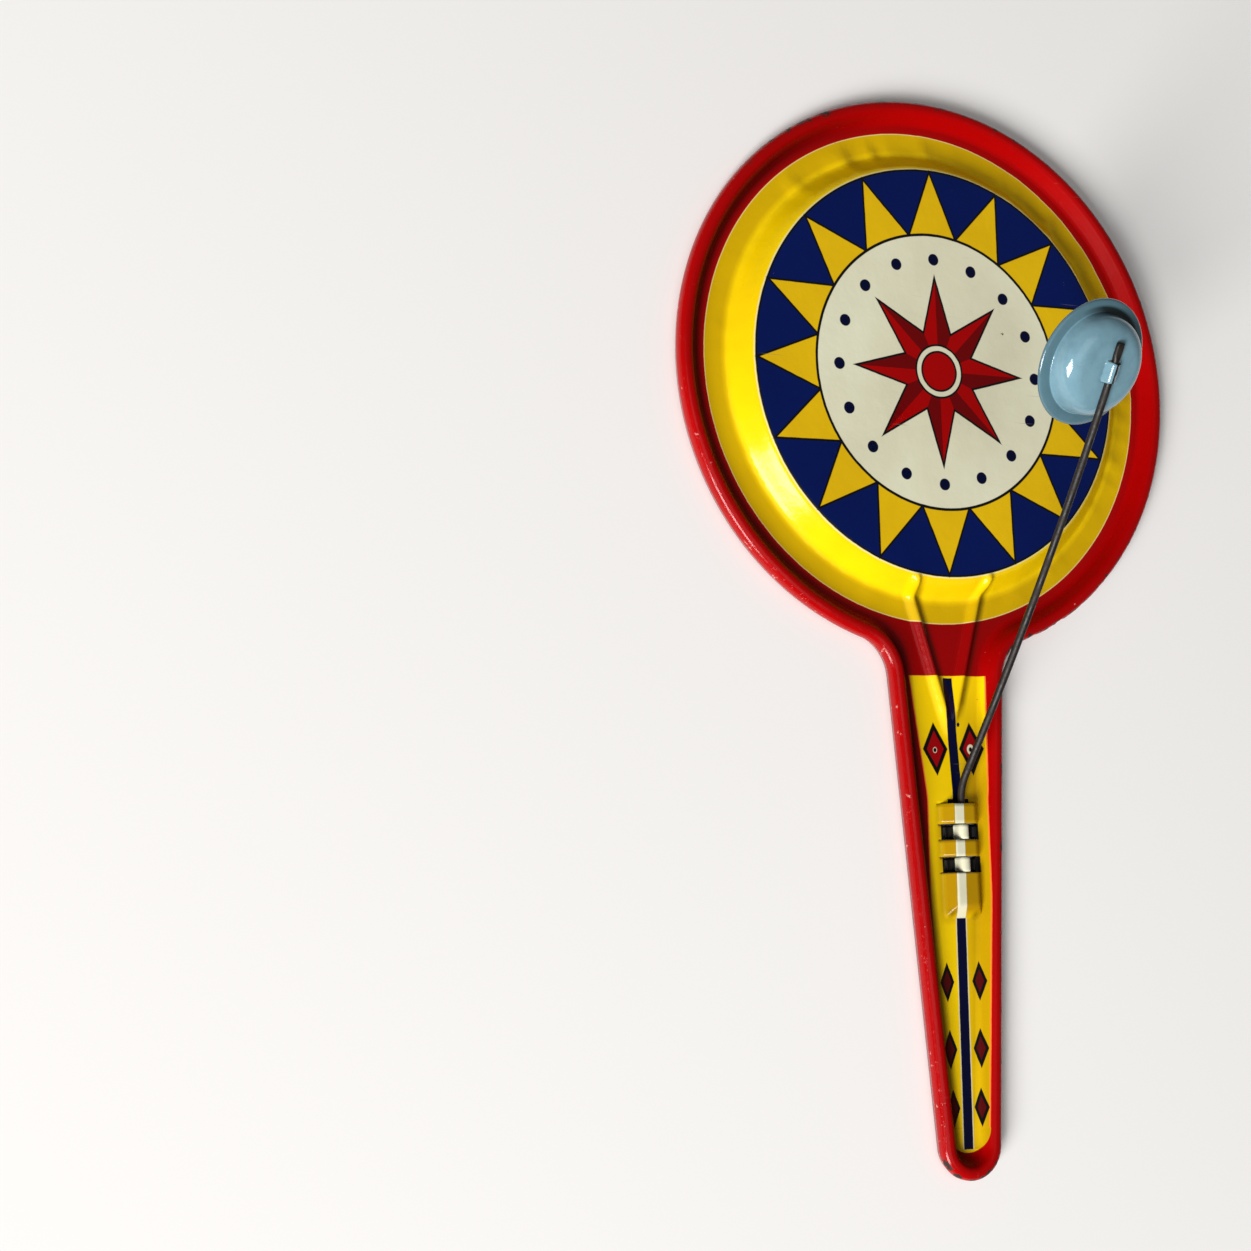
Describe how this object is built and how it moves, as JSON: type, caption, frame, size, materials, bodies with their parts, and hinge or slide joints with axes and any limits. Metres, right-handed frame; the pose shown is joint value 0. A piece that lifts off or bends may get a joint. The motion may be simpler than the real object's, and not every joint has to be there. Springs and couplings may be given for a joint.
{
  "type": "gragger noisemaker",
  "caption": "Pressed tin clanger noisemaker: a shallow round pan with a tapered handle, and a spring-wire arm that claps a small domed striker cup on the pan's raised face.",
  "frame": {"origin": "Middle of the outline in plan, on the plane of the rim's raw edge that the part rests on", "axes": "+X across the head, +Y along the handle towards the head, +Z out of the printed face"},
  "size_m": [0.108, 0.205, 0.0484],
  "materials": {
    "litho_tinplate": "gloss",
    "spring_steel": "satin",
    "striker_enamel": "satin"
  },
  "bodies": {
    "pan_body": {"pan": "litho_tinplate", "spring_wire_root": "spring_steel"},
    "striker": {"spring_wire_arm": "spring_steel", "striker_cup": "striker_enamel"}
  },
  "joints": [
    {"name": "strike", "type": "hinge", "parent": "pan_body", "child": "striker", "pos_m": [0.00335, -0.02188, 0.00741], "axis": [0.9948, -0.1018, 0], "range_deg": [-26.4, 30], "stiffness_Nm_per_rad": 1}
  ]
}
